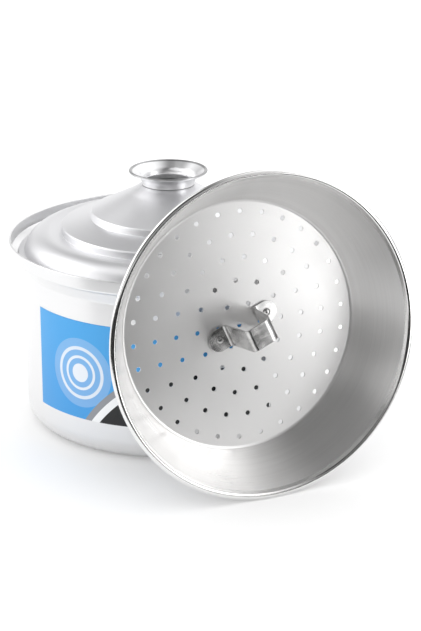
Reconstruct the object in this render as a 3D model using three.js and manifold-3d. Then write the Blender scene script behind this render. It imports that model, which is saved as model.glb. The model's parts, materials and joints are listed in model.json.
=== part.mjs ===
// A spun aluminium mandi pot: a pot with a swaged mouth, a stepped lid with a vent chimney, and a
// perforated strainer that stands on its rim and leans on the rim of the pot.
// Millimetres, +Z up. The origin is the centre of the pot's base, and the front of the pot faces -Y.
import * as THREE from 'three';
import { mergeGeometries, mergeVertices } from 'three/addons/utils/BufferGeometryUtils.js';
import Module from 'manifold-3d';

const wasm = await Module();
wasm.setup();

// Facets and the gap between pieces that touch
const SPUN_SIDES = 40;
const HOLE_SIDES = 6;
const RIVET_SIDES = 16;
const RIVET_DOME_STEPS = 4;
const ARC_STEP = Math.PI / 5;
const ANGLE_SLACK = 1e-6;
const FIT_GAP = 0.3;

// Finishes
const SATIN_POT = { color: 0xe4e4e6, roughness: 0.32, metalness: 1 };
const LABEL_PRINT = { color: 0x4a9bd8, roughness: 0.45, metalness: 0 };
const SATIN_LID = { color: 0xc8c8ce, roughness: 0.34, metalness: 1 };
const POLISHED_CHIMNEY = { color: 0xe0e0e2, roughness: 0.16, metalness: 1 };
const BRUSHED_STRAINER = { color: 0xb9b9b9, roughness: 0.36, metalness: 1 };
const POLISHED_STRAP = { color: 0xd2d2d2, roughness: 0.2, metalness: 1 };
const RIVET_FINISH = { color: 0xd8d8d8, roughness: 0.24, metalness: 1 };

// Pot: outside of the wall, sheet, outside radius of the base corner
const POT_RADIUS = 141.5;
const POT_WALL = 2;
const POT_CORNER = 21;
// Swaged mouth: height where the wall opens, the steep flare, the ledge that carries the lid, the collar
const SWAGE_HEIGHT = 156.5;
const SWAGE_STEP = 5.5;
const SWAGE_RISE = 11.1;
const SWAGE_BEND = 5;
const LEDGE_WIDTH = 8.5;
const LEDGE_RISE = 3.9;
const LEDGE_BEND = 2;
const SEAT_BEND = 1;
const COLLAR_HEIGHT = 11.1;

// Label on the front wall: size along the wall, turn of its middle from the front, place and sheet
const LABEL_WIDTH = 251;
const LABEL_HEIGHT = 97.3;
const LABEL_TURN = THREE.MathUtils.degToRad(-7.8);
const LABEL_DROP = 4;
const LABEL_SHEET = 0.4;
const LABEL_SIDES = 32;

// Lid: sheet, lap of the brim over the ledge, brim, crowned outer ring, two risers and the cone
const LID_WALL = 1.4;
const LID_LAP = 1.4;
const LID_BRIM = 5.6;
const BRIM_BEND = 1;
const SHOULDER_RISE = 22.2;
const SHOULDER_INSET = 4.3;
const SHOULDER_BEND = 21;
const OUTER_RING_WIDTH = 36.4;
const OUTER_RING_RISE = 17.6;
const OUTER_RISER = 7.5;
const OUTER_RISER_DRAFT = 0.5;
const INNER_RING_WIDTH = 27.6;
const INNER_RING_RISE = 7.1;
const INNER_RISER = 6.3;
const INNER_RISER_DRAFT = 1.5;
const RISER_BEND = 0.8;
const CONE_RISE = 24.9;
const CONE_NECK_RISE = 7.1;
const CONE_NECK_WIDTH = 11.2;
const CONE_BEND = 40;
const NECK_RADIUS = 24.2;
const NECK_HEIGHT = 3.8;
const NECK_SHOULDER = 2.6;

// Chimney: sheet, straight collar, flare to the rim, whole height and the rolled edge
const CHIMNEY_WALL = 1.4;
const CHIMNEY_COLLAR = 5.8;
const CHIMNEY_FLARE = 13.6;
const CHIMNEY_HEIGHT = 14.3;
const CHIMNEY_BEND = 7;
const CHIMNEY_BEAD = 1.3;

// Strainer: sheet, play of its rim in the collar, depth to the middle of the rim bead, flare of the wall
const STRAINER_WALL = 1.2;
const STRAINER_PLAY = 4.2;
const STRAINER_DEPTH = 55.5;
const STRAINER_FLARE = 30.8;
const STRAINER_BEND = 4;
const RIM_BEAD = 3;
// Holes: rings one pitch apart, each with six more holes than the ring before
const HOLES_ADDED = 6;
const HOLE_DIAMETER = 5;
const HOLE_PITCH = 21;
const HOLE_MARGIN = 8;
const HOLE_TURN = THREE.MathUtils.degToRad(2.7);
// How it stands: turned about the pot to the right of the front, leaning back on the pot's rim
const STRAINER_TURN = THREE.MathUtils.degToRad(24.5);
const STRAINER_LEAN = THREE.MathUtils.degToRad(7.2);

// Strap handle in the strainer: strip, height of its top, lengths along the strip, turn on the bottom, and
// how far the handle's middle lies off the middle of the bottom, along the strip and across it
const STRAP_WIDTH = 21.6;
const STRAP_SHEET = 1.8;
const HANDLE_HEIGHT = 44.4;
const HANDLE_BASE = 30;
const HANDLE_TOP = 24.4;
const HANDLE_BEND = 3;
const HANDLE_TURN = THREE.MathUtils.degToRad(22.5);
const HANDLE_ALONG = 2.2;
const HANDLE_ACROSS = -2.2;
const FOOT_REACH = 11;

// Rivets through the feet of the strap
const RIVET_DIAMETER = 5;
const RIVET_HEAD_DIAMETER = 7.4;
const RIVET_HEAD_HEIGHT = 2.2;
const RIVET_TAIL_DIAMETER = 8;
const RIVET_TAIL_HEIGHT = 1.2;

// Sizes worked out from those above
const potInside = POT_RADIUS - POT_WALL;
const ledgeInner = potInside + SWAGE_STEP;
const collarInside = ledgeInner + LEDGE_WIDTH;
const potRimRadius = collarInside + POT_WALL;
const ledgeHeight = SWAGE_HEIGHT + SWAGE_RISE;
const potRimHeight = ledgeHeight + LEDGE_RISE + COLLAR_HEIGHT;
const lidRadius = ledgeInner + LID_LAP;
const lidSeatHeight = ledgeHeight + LID_LAP * LEDGE_RISE / LEDGE_WIDTH + FIT_GAP;
const strainerRadius = collarInside - STRAINER_PLAY;
const bottomRadius = strainerRadius - RIM_BEAD - STRAINER_FLARE;
const handleMiddle = turnedPlace(HANDLE_ALONG, HANDLE_ACROSS);
const rivetReach = HANDLE_BASE / 2 + FOOT_REACH;
const rivetHole = RIVET_DIAMETER + 2 * FIT_GAP;

// A place on the strainer's bottom, given along the handle's strip and across it
function turnedPlace(along, across) {
  return new THREE.Vector2(along, across).rotateAround(new THREE.Vector2(), HANDLE_TURN);
}

// A corner of an outline: radius, height and the inside radius of the bend there
function corner(radius, height, bend = 0) {
  return { point: new THREE.Vector2(radius, height), bend };
}

function direction(from, to) {
  return to.clone().sub(from).normalize();
}

function rightOf(heading) {
  return new THREE.Vector2(heading.y, -heading.x);
}

// Points of an arc about a centre, from an angle, through a signed sweep
function arcPoints(centre, radius, start, sweep) {
  const steps = Math.max(1, Math.ceil(Math.abs(sweep) / ARC_STEP - ANGLE_SLACK));
  return Array.from({ length: steps + 1 }, (_, step) => {
    const angle = start + sweep * step / steps;
    return new THREE.Vector2(Math.cos(angle), Math.sin(angle)).multiplyScalar(radius).add(centre);
  });
}

// One face of a bent sheet: the corner points joined by straight stretches, with arcs at the bends.
// A left turn has the bend radius on this face plus leftExtra, a right turn the same plus rightExtra.
function bentFace(points, bends, leftExtra, rightExtra) {
  const face = [points[0]];
  for (let index = 1; index < points.length - 1; index += 1) {
    const before = direction(points[index - 1], points[index]);
    const after = direction(points[index], points[index + 1]);
    const turn = Math.atan2(before.cross(after), before.dot(after));
    const radius = bends[index] > 0 ? bends[index] + (turn > 0 ? leftExtra : rightExtra) : 0;
    if (radius === 0) {
      face.push(points[index]);
    } else {
      const side = Math.sign(turn);
      const tangent = radius * Math.tan(Math.abs(turn) / 2);
      const start = points[index].clone().addScaledVector(before, -tangent);
      const toCentre = rightOf(before).multiplyScalar(-side * radius);
      const centre = start.clone().add(toCentre);
      face.push(...arcPoints(centre, radius, toCentre.clone().negate().angle(), turn));
    }
  }
  face.push(points[points.length - 1]);
  return face;
}

// The far face of a sheet: every corner moved to the right of the way along it by the sheet's thickness
function offsetPoints(points, sheet) {
  return points.map((point, index) => {
    const before = index > 0 ? direction(points[index - 1], point) : direction(point, points[1]);
    const after = index < points.length - 1 ? direction(point, points[index + 1]) : before;
    const rightBefore = rightOf(before);
    const rightAfter = rightOf(after);
    const middle = rightBefore.clone().add(rightAfter).normalize();
    return point.clone().addScaledVector(middle, sheet / middle.dot(rightBefore));
  });
}

// Outline of a bent sheet whose near face runs through the corners and whose far face is on its right.
// With a bead, the last corner is the middle of a rolled edge on the right, which the near face touches.
function sheetOutline(corners, sheet, bead = 0) {
  const points = corners.map((item) => item.point.clone());
  const bends = corners.map((item) => item.bend);
  const last = points.length - 1;
  const beadCentre = points[last].clone();
  const foot = points[last - 1];
  if (bead > 0) {
    const reach = beadCentre.distanceTo(foot);
    const swing = Math.asin(bead / reach);
    const heading = direction(foot, beadCentre).rotateAround(new THREE.Vector2(), swing);
    points[last] = foot.clone().addScaledVector(heading, reach * Math.cos(swing));
  }
  const farPoints = offsetPoints(points, sheet);
  const rolled = [];
  if (bead > 0) {
    const start = points[last].clone().sub(beadCentre).angle();
    const closing = Math.acos((bead - sheet) / bead);
    rolled.push(...arcPoints(beadCentre, bead, start, closing - 2 * Math.PI).slice(1));
    farPoints[last] = rolled.pop();
  }
  const nearFace = bentFace(points, bends, 0, sheet);
  const farFace = bentFace(farPoints, bends, sheet, 0);
  return [...nearFace, ...rolled, ...farFace.reverse()];
}

// An outline in radius and height turned about the Z axis, with its faces pointing out
function spin(outline, sides) {
  const counterClockwise = THREE.ShapeUtils.area(outline) > 0;
  const points = counterClockwise ? [...outline] : [...outline].reverse();
  const onAxis = points.some((point) => point.x === 0);
  if (onAxis) {
    while (!(points[0].x === 0 && points[points.length - 1].x === 0)) {
      points.push(points.shift());
    }
  } else {
    points.push(points[0].clone());
  }
  return new THREE.LatheGeometry(points, sides).rotateX(Math.PI / 2);
}

// Geometry to solid and back, for cutting
function toSolid(geometry) {
  const bare = geometry.clone();
  bare.deleteAttribute('normal');
  bare.deleteAttribute('uv');
  const merged = mergeVertices(bare);
  const index = merged.index.array;
  const triangles = [];
  for (let first = 0; first < index.length; first += 3) {
    const [a, b, c] = index.slice(first, first + 3);
    if (a !== b && b !== c && c !== a) {
      triangles.push(a, b, c);
    }
  }
  const vertProperties = new Float32Array(merged.attributes.position.array);
  const triVerts = new Uint32Array(triangles);
  return new wasm.Manifold(new wasm.Mesh({ numProp: 3, vertProperties, triVerts }));
}

function toGeometry(solid) {
  const mesh = solid.getMesh();
  const geometry = new THREE.BufferGeometry();
  geometry.setAttribute('position', new THREE.BufferAttribute(mesh.vertProperties, 3));
  geometry.setIndex(new THREE.BufferAttribute(mesh.triVerts, 1));
  geometry.computeVertexNormals();
  return geometry;
}

// A round drill along Z through a place in the XY plane
function drill(place, diameter, sides, low, high) {
  const cylinder = new THREE.CylinderGeometry(diameter / 2, diameter / 2, high - low, sides);
  return cylinder.rotateX(Math.PI / 2).translate(place.x, place.y, (low + high) / 2);
}

function piece(name, geometry, finish) {
  const mesh = new THREE.Mesh(geometry, new THREE.MeshStandardMaterial(finish));
  mesh.name = name;
  return mesh;
}

// Pot body: the inside face from the middle of the base to the rim, with the sheet outside it
function makePotBody() {
  const inside = [
    corner(0, POT_WALL),
    corner(potInside, POT_WALL, POT_CORNER - POT_WALL),
    corner(potInside, SWAGE_HEIGHT, SWAGE_BEND),
    corner(ledgeInner, ledgeHeight, LEDGE_BEND),
    corner(collarInside, ledgeHeight + LEDGE_RISE, SEAT_BEND),
    corner(collarInside, potRimHeight),
  ];
  return piece('pot_body', spin(sheetOutline(inside, POT_WALL), SPUN_SIDES), SATIN_POT);
}

// Label: a thin sheet bent round the wall
function makeLabel() {
  const inner = POT_RADIUS + FIT_GAP;
  const outer = inner + LABEL_SHEET;
  const spread = LABEL_WIDTH / inner;
  const middle = LABEL_TURN - Math.PI / 2;
  const shape = new THREE.Shape();
  shape.absarc(0, 0, outer, middle - spread / 2, middle + spread / 2, false);
  shape.absarc(0, 0, inner, middle + spread / 2, middle - spread / 2, true);
  const options = { depth: LABEL_HEIGHT, bevelEnabled: false, curveSegments: LABEL_SIDES };
  const geometry = new THREE.ExtrudeGeometry(shape, options);
  const wallMiddle = (POT_CORNER + SWAGE_HEIGHT) / 2;
  geometry.translate(0, 0, wallMiddle - LABEL_DROP - LABEL_HEIGHT / 2);
  return piece('front_label', geometry, LABEL_PRINT);
}

// Heights and radii of the lid's outside face
const brimTop = lidSeatHeight + LID_WALL;
const domeFoot = lidRadius - LID_BRIM;
const outerRiserFoot = domeFoot - OUTER_RING_WIDTH;
const outerRiserTop = outerRiserFoot - OUTER_RISER_DRAFT;
const innerRiserFoot = outerRiserTop - INNER_RING_WIDTH;
const innerRiserTop = innerRiserFoot - INNER_RISER_DRAFT;
const outerRiserLow = brimTop + OUTER_RING_RISE;
const outerRiserHigh = outerRiserLow + OUTER_RISER;
const innerRiserLow = outerRiserHigh + INNER_RING_RISE;
const innerRiserHigh = innerRiserLow + INNER_RISER;
const neckFoot = innerRiserHigh + CONE_RISE;
const neckShoulder = NECK_RADIUS + NECK_SHOULDER;

// Lid: the outside face from the top of the neck down to the edge of the brim, with the sheet inside it
function makeLidDome() {
  const outside = [
    corner(NECK_RADIUS, neckFoot + NECK_HEIGHT),
    corner(NECK_RADIUS, neckFoot),
    corner(neckShoulder, neckFoot),
    corner(neckShoulder + CONE_NECK_WIDTH, neckFoot - CONE_NECK_RISE, CONE_BEND),
    corner(innerRiserTop, innerRiserHigh, RISER_BEND),
    corner(innerRiserFoot, innerRiserLow, RISER_BEND),
    corner(outerRiserTop, outerRiserHigh, RISER_BEND),
    corner(outerRiserFoot, outerRiserLow, RISER_BEND),
    corner(domeFoot - SHOULDER_INSET, brimTop + SHOULDER_RISE, SHOULDER_BEND),
    corner(domeFoot, brimTop, BRIM_BEND),
    corner(lidRadius, brimTop),
  ];
  return piece('lid_dome', spin(sheetOutline(outside, LID_WALL), SPUN_SIDES), SATIN_LID);
}

// Chimney: the inside face from the foot of the collar to the rolled rim, with the sheet outside it
function makeLidChimney() {
  const sleeve = NECK_RADIUS + FIT_GAP;
  const foot = neckFoot + FIT_GAP;
  const inside = [
    corner(sleeve, foot),
    corner(sleeve, foot + CHIMNEY_COLLAR, CHIMNEY_BEND),
    corner(sleeve + CHIMNEY_FLARE - CHIMNEY_BEAD, foot + CHIMNEY_HEIGHT - CHIMNEY_BEAD),
  ];
  const outline = sheetOutline(inside, CHIMNEY_WALL, CHIMNEY_BEAD);
  return piece('lid_chimney', spin(outline, SPUN_SIDES), POLISHED_CHIMNEY);
}

// Places of the strainer's holes, ring by ring from the middle
function holePlaces() {
  const places = [new THREE.Vector2(0, 0)];
  const rings = Math.floor((bottomRadius - HOLE_MARGIN) / HOLE_PITCH);
  for (let ring = 1; ring <= rings; ring += 1) {
    const count = HOLES_ADDED * ring;
    for (let number = 0; number < count; number += 1) {
      const angle = HOLE_TURN + 2 * Math.PI * number / count;
      places.push(new THREE.Vector2(Math.cos(angle), Math.sin(angle)).multiplyScalar(ring * HOLE_PITCH));
    }
  }
  return places;
}

// Places of the two rivets in the feet of the handle
function rivetPlaces() {
  return {
    rivet_left: turnedPlace(HANDLE_ALONG - rivetReach, HANDLE_ACROSS),
    rivet_right: turnedPlace(HANDLE_ALONG + rivetReach, HANDLE_ACROSS),
  };
}

// Strainer: the inside face from the middle of its bottom to the rolled rim, then the holes.
// Its own frame has the inside of the bottom at height 0 and the open side towards +Z.
function makeStrainerPan() {
  const inside = [
    corner(0, 0),
    corner(bottomRadius, 0, STRAINER_BEND),
    corner(strainerRadius - RIM_BEAD, STRAINER_DEPTH),
  ];
  const shell = toSolid(spin(sheetOutline(inside, STRAINER_WALL, RIM_BEAD), SPUN_SIDES));
  const low = -2 * STRAINER_WALL;
  const high = STRAINER_WALL;
  const drills = [
    ...holePlaces().map((place) => drill(place, HOLE_DIAMETER, HOLE_SIDES, low, high)),
    ...Object.values(rivetPlaces()).map((place) => drill(place, rivetHole, RIVET_SIDES, low, high)),
  ];
  const pan = shell.subtract(toSolid(mergeGeometries(drills)));
  return piece('strainer_pan', toGeometry(pan), BRUSHED_STRAINER);
}

// Handle: a strip bent up, over and down again, with round feet and a rivet hole in each foot
function makeStrainerHandle() {
  const top = HANDLE_HEIGHT - FIT_GAP - STRAP_SHEET;
  const under = [
    corner(-rivetReach - STRAP_WIDTH, 0),
    corner(-HANDLE_BASE / 2, 0, HANDLE_BEND),
    corner(-HANDLE_TOP / 2, top, HANDLE_BEND),
    corner(HANDLE_TOP / 2, top, HANDLE_BEND),
    corner(HANDLE_BASE / 2, 0, HANDLE_BEND),
    corner(rivetReach + STRAP_WIDTH, 0),
  ];
  const upside = under.map((item) => corner(-item.point.x, item.point.y, item.bend));
  const side = new THREE.Shape(sheetOutline(upside, STRAP_SHEET));
  const strip = new THREE.ExtrudeGeometry(side, { depth: STRAP_WIDTH, bevelEnabled: false });
  strip.translate(0, 0, -STRAP_WIDTH / 2).rotateX(Math.PI / 2);
  const plan = new THREE.Shape();
  plan.absarc(rivetReach, 0, STRAP_WIDTH / 2, -Math.PI / 2, Math.PI / 2, false);
  plan.absarc(-rivetReach, 0, STRAP_WIDTH / 2, Math.PI / 2, 3 * Math.PI / 2, false);
  const outline = new THREE.ExtrudeGeometry(plan, {
    depth: 2 * HANDLE_HEIGHT,
    bevelEnabled: false,
    curveSegments: RIVET_SIDES / 2,
  });
  outline.translate(0, 0, -HANDLE_HEIGHT / 2);
  const drills = [-rivetReach, rivetReach].map((x) => {
    return drill(new THREE.Vector2(x, 0), rivetHole, RIVET_SIDES, -STRAP_SHEET, 2 * STRAP_SHEET);
  });
  const handle = toSolid(strip).intersect(toSolid(outline)).subtract(toSolid(mergeGeometries(drills)));
  const mesh = piece('strainer_handle', toGeometry(handle), POLISHED_STRAP);
  mesh.position.set(handleMiddle.x, handleMiddle.y, FIT_GAP);
  mesh.rotation.z = HANDLE_TURN;
  return mesh;
}

// Rivet: a round tail behind the bottom, a shank through it and the strap, and a domed head
function makeRivet(name, place) {
  const shank = RIVET_DIAMETER / 2;
  const head = RIVET_HEAD_DIAMETER / 2;
  const tail = RIVET_TAIL_DIAMETER / 2;
  const headLow = FIT_GAP + STRAP_SHEET + FIT_GAP;
  const tailHigh = -STRAINER_WALL - FIT_GAP;
  const dome = new THREE.EllipseCurve(0, headLow, head, RIVET_HEAD_HEIGHT, 0, Math.PI / 2);
  const domePoints = dome.getPoints(RIVET_DOME_STEPS).slice(0, -1);
  const outline = [
    new THREE.Vector2(0, tailHigh - RIVET_TAIL_HEIGHT),
    new THREE.Vector2(tail, tailHigh - RIVET_TAIL_HEIGHT),
    new THREE.Vector2(tail, tailHigh),
    new THREE.Vector2(shank, tailHigh),
    new THREE.Vector2(shank, headLow),
    ...domePoints,
    new THREE.Vector2(0, headLow + RIVET_HEAD_HEIGHT),
  ];
  const mesh = piece(name, spin(outline, RIVET_SIDES), RIVET_FINISH);
  mesh.position.set(place.x, place.y, 0);
  return mesh;
}

// The strainer stands on its rim bead. Its back touches the pot's rim at the height of that rim, which
// sets how far from the pot's axis the middle of the bead stands on the floor.
function makeStrainer() {
  const beadCircle = strainerRadius - RIM_BEAD;
  const back = STRAINER_DEPTH + STRAINER_WALL;
  const leanBack = (potRimHeight - RIM_BEAD) * Math.sin(STRAINER_LEAN);
  const standOff = potRimRadius + FIT_GAP + (back + leanBack) / Math.cos(STRAINER_LEAN);
  const pan = new THREE.Group();
  pan.position.set(0, STRAINER_DEPTH, beadCircle);
  pan.rotation.x = Math.PI / 2;
  pan.add(makeStrainerPan(), makeStrainerHandle());
  for (const [name, place] of Object.entries(rivetPlaces())) {
    pan.add(makeRivet(name, place));
  }
  const lean = new THREE.Group();
  lean.position.set(0, -standOff, RIM_BEAD);
  lean.rotation.x = -STRAINER_LEAN;
  lean.add(pan);
  const turn = new THREE.Group();
  turn.rotation.z = STRAINER_TURN;
  turn.add(lean);
  return turn;
}

const lid = new THREE.Group();
lid.add(makeLidDome(), makeLidChimney());

const mandiPot = new THREE.Group();
mandiPot.add(makePotBody(), makeLabel(), lid, makeStrainer());

export default mandiPot;
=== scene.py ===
"""Looks of a spun aluminium mandi pot with a vented lid and a loose strainer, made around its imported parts.

Metres, +Z up. The pot stands on the origin and its front faces -Y. The strainer is modelled in a frame of
its own, with the inside of its bottom on the XY plane and its open side towards +Z, and is then set where it
leans.
"""
import json
import math

import bmesh
import bpy
from bpy.props import FloatProperty, FloatVectorProperty, PointerProperty
from mathutils import Matrix, Vector


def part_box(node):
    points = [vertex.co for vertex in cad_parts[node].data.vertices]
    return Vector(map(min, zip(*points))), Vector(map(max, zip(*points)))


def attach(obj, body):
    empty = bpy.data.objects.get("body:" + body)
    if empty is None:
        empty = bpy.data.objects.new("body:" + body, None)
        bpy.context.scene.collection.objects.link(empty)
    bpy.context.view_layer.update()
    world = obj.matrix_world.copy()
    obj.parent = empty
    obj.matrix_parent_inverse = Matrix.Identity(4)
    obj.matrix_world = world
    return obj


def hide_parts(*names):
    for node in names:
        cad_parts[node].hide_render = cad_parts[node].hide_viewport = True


bl_info = {
    "name": "Mandi pot",
    "version": (1, 0, 0),
    "blender": (4, 5, 0),
    "location": "3D View > Sidebar > Mandi pot",
    "description": "Models the looks of a spun aluminium mandi pot around its packed parts",
    "category": "Object",
}

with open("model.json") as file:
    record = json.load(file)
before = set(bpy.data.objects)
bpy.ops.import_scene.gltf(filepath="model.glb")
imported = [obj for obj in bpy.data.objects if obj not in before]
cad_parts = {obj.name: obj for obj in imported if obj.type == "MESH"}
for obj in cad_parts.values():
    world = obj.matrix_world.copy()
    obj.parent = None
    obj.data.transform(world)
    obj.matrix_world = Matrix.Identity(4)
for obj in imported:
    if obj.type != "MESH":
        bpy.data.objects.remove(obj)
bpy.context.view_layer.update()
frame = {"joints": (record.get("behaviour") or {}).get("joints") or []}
pot_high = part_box("pot_body")[1]
label_low, label_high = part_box("front_label")
lid_low, lid_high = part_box("lid_dome")
chimney_low, chimney_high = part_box("lid_chimney")
tip_joint = next(joint for joint in frame["joints"] if joint["name"] == "strainer_tip")

MM = 0.001
UP = Vector((0.0, 0.0, 1.0))
LEFT_AXIS = Vector((0.0, -1.0, 0.0))
FULL_TURN = 2.0 * math.pi

# Fineness of the meshes
SPIN_STEPS = 160
ARC_STEP = math.radians(7.0)
HOLE_SIDES = 24
RIVET_STEPS = 48
LABEL_STEPS = 96
EDGE_SEGMENTS = 3
WELD = 1e-6
SHARP_ANGLE = math.radians(34.0)
RIM_ANGLE = math.radians(50.0)

# Names of the UV maps and of the layer that holds the way along a profile
ROUND_MAP = "round"
SHEET_MAP = "sheet"
RUN_LAYER = "run"

# The photograph's frame
PHOTO_HEIGHT = 631
FOCAL_PIXELS = 1978.12
SENSOR = 36.0

# Each ring of holes in the strainer has this many more than the ring inside it
RING_STEP = 6

# Noises of the finishes: scale, detail and roughness. The scale counts in waves to the metre, but in turned
# lines for the lines, and in the stretched waves of STREAK_SCALE for the streaks
FINE_LINES = (1.0, 4.0, 0.65)
BROAD_LINES = (0.12, 2.0)
GRAIN = (1600.0, 2.0)
CLOUDS = (14.0, 3.0)
DENTS = (60.0, 1.0)
STREAKS = (1.0, 2.0)
MOTTLE = (900.0, 2.0)
TOOTH = (300.0, 2.0)

# Depths of the bumps, where their strength is 1
LINE_DEPTH = 0.2 * MM
GRAIN_DEPTH = 0.1 * MM
DENT_DEPTH = 0.6 * MM
MOTTLE_DEPTH = 0.1 * MM

# Turned lines of the spun sheets: their step along the profile, how fast they change round the axis, and the
# share of the broad bands in them
LINE_SPACING = 0.9 * MM
LINE_CHANGE = 1.4
BROAD_SHARE = 0.8
# The range of noise in which they go from dark to light, and how far the deepest ones darken
LINE_RANGE = (0.5, 1.3)
LINE_TONE = 0.35
# The range of noise in which they go from smooth to rough, and how far the deepest ones change the roughness
ROUGH_RANGE = (0.7, 1.3)
LINE_ROUGHNESS = 0.3
# Turn of the stretched highlights off the way round, as a share of a full turn
ACROSS_LINES = 0.25

# Streaks of the strap: how often they change along, across and above the strip, in waves to the metre, the
# range of noise that they show, and the shares of brightness and of roughness that they go down to
STREAK_SCALE = (40.0, 140.0, 60.0)
STREAK_RANGE = (0.35, 0.65)
STREAK_TONE = 0.72
STREAK_GLOSS = 0.8

# Print of the label, in millimetres from its lower left corner: the middle of the ripple rings, and the
# reach, width and strength of each ring
RIPPLE_MIDDLE = (58.0, 46.0)
RIPPLES = ((34.0, 34.0, 0.16), (26.0, 3.0, 0.75), (17.0, 2.4, 0.8), (9.0, 9.0, 0.85))
# The middle of the arcs, the reaches of the grey, the pale and the dark one, and the softness of all edges
ARC_MIDDLE = (194.0, -88.0)
ARC_REACHES = (158.0, 152.0, 145.0)
PRINT_EDGE = 0.3
# Mottle of the print: the range of noise that it shows, the roughness over that range and its bump's strength
MOTTLE_RANGE = (0.3, 0.7)
PRINT_ROUGHNESS = (0.30, 0.40)
MOTTLE_BUMP = 0.03

# Matt paper and felt: the share of brightness that their tooth goes down to, and their roughness
TOOTH_TONE = 0.985
MATT_ROUGHNESS = 0.9

# Azimuths count in degrees from the back by the right
FRONT_AZIMUTH = 180.0

# Rings of soft lamps that the metal reflects: elevation in degrees, and the brightness of the ring's lamps,
# evenly round from the front by the left, the back and the right
LAMP_RINGS = (
    (6.0, (0.4, 0.95, 0.1, 1.0, 0.5, 0.4, 0.95, 0.2, 0.3, 0.25, 0.45, 0.0)),
    (32.0, (0.25, 0.0, 0.0, 0.7, 0.85, 0.0, 0.1, 0.65, 0.65, 0.0, 0.55, 0.0)),
    (58.0, (0.0, 0.0, 0.1, 0.2, 0.0, 0.8, 0.6, 0.0)),
)
# Angles from a lamp's middle where it is full and where it ends
LAMP_FULL = math.radians(4.0)
LAMP_END = math.radians(34.0)
# Brightness of the studio to all but the reflections in the metal
STUDIO_WHITE = 1.22

# Soft boxes: name, place, aim, width, height and power
SOFT_BOXES = (
    ("left", (-1.5, 0.4, 1.4), (0.0, 0.0, 0.15), 1.0, 1.0, 4.0),
    ("right", (0.585, -0.39, 0.17), (0.1, -0.17, 0.16), 0.32, 0.3, 0.6),
    ("right_top", (0.6, -0.2, 0.46), (0.05, -0.19, 0.1), 0.3, 0.4, 0.7),
    ("lid_top", (-0.15, -0.1, 0.55), (0.03, -0.03, 0.2), 0.25, 0.25, 0.2),
    ("lid_left", (-0.6, -0.4, 0.45), (0.0, 0.0, 0.2), 0.4, 0.4, 0.5),
)

# Dark cards that show in the metal only: name, radius and height of one edge and of the other, in metres, and
# azimuth of the card's middle and how far it bends round, in degrees
DARK_CARDS = (
    ("studio_card", 0.8, 0.0, 0.8, 0.36, FRONT_AZIMUTH, 110.0),
    ("studio_felt", 0.48, 0.001, 0.8, 0.001, 140.0, 90.0),
)
CARD_STEPS = 48


def length(name, description, metres):
    """A size, in metres."""
    return FloatProperty(name=name, description=description, default=metres, unit="LENGTH", precision=5)


def swivel(name, description, degrees):
    """An angle, given in degrees."""
    return FloatProperty(name=name, description=description, default=math.radians(degrees), unit="ROTATION")


def share(name, description, default):
    """A number from 0 to 1."""
    return FloatProperty(
        name=name, description=description, default=default, min=0.0, max=1.0, subtype="FACTOR"
    )


def tint(name, description, red, green, blue):
    """A linear colour."""
    return FloatVectorProperty(
        name=name, description=description, default=(red, green, blue), min=0.0, max=1.0, subtype="COLOR"
    )


def place(name, description, x, y, z):
    """A point, in metres."""
    return FloatVectorProperty(name=name, description=description, default=(x, y, z), subtype="TRANSLATION")


class PotSizes(bpy.types.PropertyGroup):
    """Sizes and finish of the pot"""

    sheet: length("Sheet", "Thickness of the pot's sheet", 2.0 * MM)
    radius: length("Radius", "Outside of the wall", 141.5 * MM)
    rim_height: length("Rim height", "Top of the collar", pot_high.z)
    base_corner: length("Base corner", "Inside radius of the corner of the base", 19.0 * MM)
    swage_height: length("Swage height", "Where the wall opens", 156.5 * MM)
    swage_step: length("Swage step", "How far the wall opens below the ledge", 5.5 * MM)
    swage_rise: length("Swage rise", "Height of that opening", 11.1 * MM)
    swage_bend: length("Swage bend", "Inside radius of the bend below the swage", 5.0 * MM)
    ledge_width: length("Ledge width", "Ledge that carries the lid", 8.5 * MM)
    ledge_rise: length("Ledge rise", "Rise of the ledge towards the collar", 3.9 * MM)
    ledge_bend: length("Ledge bend", "Inside radius of the ledge's inner bend", 2.0 * MM)
    seat_bend: length("Seat bend", "Inside radius of the corner at the collar", 1.0 * MM)
    edge: length("Edge", "Rounding of the sheet's edges", 0.8 * MM)
    colour: tint("Colour", "Colour of the metal", 0.81, 0.81, 0.815)
    roughness: share("Roughness", "Roughness of the finish", 0.3)
    stretch: share("Stretch", "How far highlights stretch across the turned lines", 0.5)
    lines: share("Lines", "Depth of the turned lines", 0.03)
    grain: share("Grain", "Depth of the fine grain", 0.01)


class LabelSizes(bpy.types.PropertyGroup):
    """Sizes and print of the label"""

    width: length("Width", "Width along the wall", 251.0 * MM)
    sheet: length("Sheet", "Thickness of the label", 0.4 * MM)
    gap: length("Gap", "Gap between the label and the wall", 0.3 * MM)
    turn: swivel("Turn", "Turn of the label's middle from the front", -7.8)
    field: tint("Field", "Colour of the field at its top", 0.055, 0.36, 0.76)
    field_low: tint("Lower field", "Colour of the field at its foot", 0.045, 0.31, 0.70)
    ink: tint("Ink", "Colour of the dark corner", 0.006, 0.006, 0.007)
    paper: tint("Paper", "Colour of the pale bands and rings", 0.86, 0.87, 0.88)
    grey: tint("Grey", "Colour of the grey band", 0.27, 0.28, 0.30)


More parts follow.
